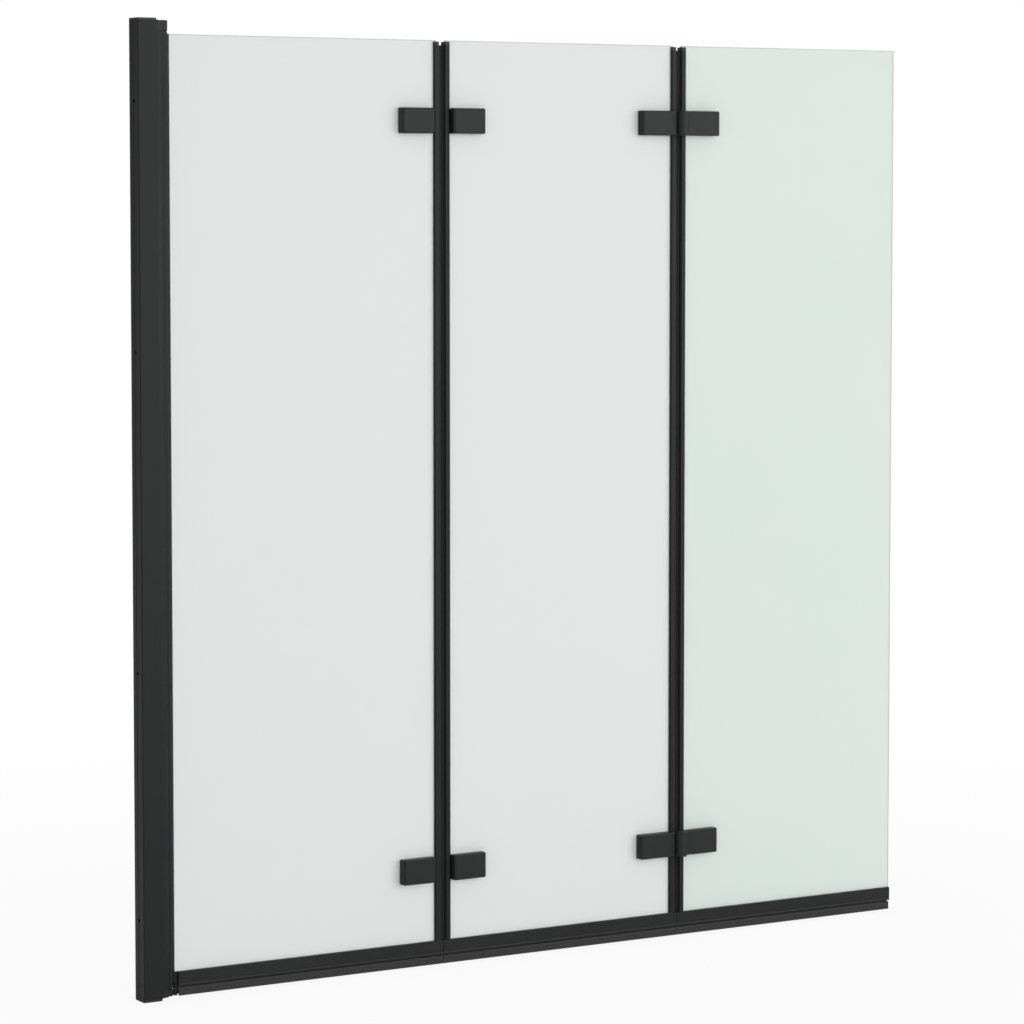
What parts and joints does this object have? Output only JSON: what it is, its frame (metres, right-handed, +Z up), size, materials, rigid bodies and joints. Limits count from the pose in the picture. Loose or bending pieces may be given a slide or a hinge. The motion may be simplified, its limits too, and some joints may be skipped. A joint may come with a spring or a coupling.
{
  "type": "folding bath screen",
  "caption": "Folding bath screen: frosted glass panels with black edge strips, clamp hinges and sealing bottom rails, turning on a pivot tube in a black wall channel.",
  "frame": {"origin": "middle of the lower end of the wall channel's wall face", "axes": "+X along the screen away from the wall, +Z up, -Y the front, with y = 0 in the middle of the glass"},
  "size_m": [1.3, 0.054, 1.38],
  "materials": {
    "black_aluminium": "satin black anodised",
    "black_hinge_metal": "satin black powder coat",
    "black_plastic": "moulded, matt",
    "black_rubber": "extruded, matt",
    "steel": "stainless, plain",
    "frosted_glass": "satin frosted, with polished edges"
  },
  "bodies": {
    "wall_frame": {"wall_channel": "black_aluminium", "channel_cap_top": "black_plastic", "channel_cap_bottom": "black_plastic", "adjusting_profile": "black_aluminium", "lock_screws": "steel", "pivot_block_top": "black_hinge_metal", "pivot_block_bottom": "black_hinge_metal", "block_screws": "steel", "pivot_pins": "steel", "pivot_spacers": "black_plastic"},
    "panel_1": {"pivot_tube": "black_aluminium", "pivot_bush_top": "black_plastic", "pivot_bush_bottom": "black_plastic", "pivot_gasket": "black_rubber", "glass_1": "frosted_glass", "edge_clamp_1": "black_aluminium", "edge_seal_1": "black_rubber", "edge_cap_1": "black_plastic", "bottom_rail_1": "black_aluminium", "rail_seal_1": "black_rubber", "rail_boot": "black_rubber", "hinge_a_top_leaf_1": "black_hinge_metal", "hinge_a_low_leaf_1": "black_hinge_metal", "hinge_a_covers_1": "black_hinge_metal", "hinge_pads_1": "black_rubber", "clamp_screws_1": "steel", "hinge_a_pins": "steel", "hinge_a_washers": "black_plastic"},
    "panel_2": {"glass_2": "frosted_glass", "edge_clamp_2_wall": "black_aluminium", "edge_seal_2_wall": "black_rubber", "edge_clamp_2_free": "black_aluminium", "edge_seal_2_free": "black_rubber", "edge_caps_2": "black_plastic", "bottom_rail_2": "black_aluminium", "rail_seal_2": "black_rubber", "hinge_a_top_leaf_2": "black_hinge_metal", "hinge_a_low_leaf_2": "black_hinge_metal", "hinge_a_covers_2": "black_hinge_metal", "hinge_b_top_leaf_2": "black_hinge_metal", "hinge_b_low_leaf_2": "black_hinge_metal", "hinge_b_covers_2": "black_hinge_metal", "hinge_pads_2": "black_rubber", "clamp_screws_2": "steel", "hinge_b_pins": "steel", "hinge_b_washers": "black_plastic"},
    "panel_3": {"glass_3": "frosted_glass", "edge_clamp_3": "black_aluminium", "edge_seal_3": "black_rubber", "edge_cap_3": "black_plastic", "bottom_rail_3": "black_aluminium", "rail_seal_3": "black_rubber", "hinge_b_top_leaf_3": "black_hinge_metal", "hinge_b_low_leaf_3": "black_hinge_metal", "hinge_b_covers_3": "black_hinge_metal", "hinge_pads_3": "black_rubber", "clamp_screws_3": "steel"}
  },
  "joints": [
    {"name": "wall_pivot", "type": "hinge", "parent": "wall_frame", "child": "panel_1", "pos_m": [0.045, 0, 0], "axis": [0, 0, 1], "range_deg": [-90, 0]},
    {"name": "fold_a", "type": "hinge", "parent": "panel_1", "child": "panel_2", "pos_m": [0.487, 0.0175, 0], "axis": [0, 0, 1], "range_deg": [0, 180]},
    {"name": "fold_b", "type": "hinge", "parent": "panel_2", "child": "panel_3", "pos_m": [0.897, -0.0175, 0], "axis": [0, 0, -1], "range_deg": [0, 180]}
  ]
}
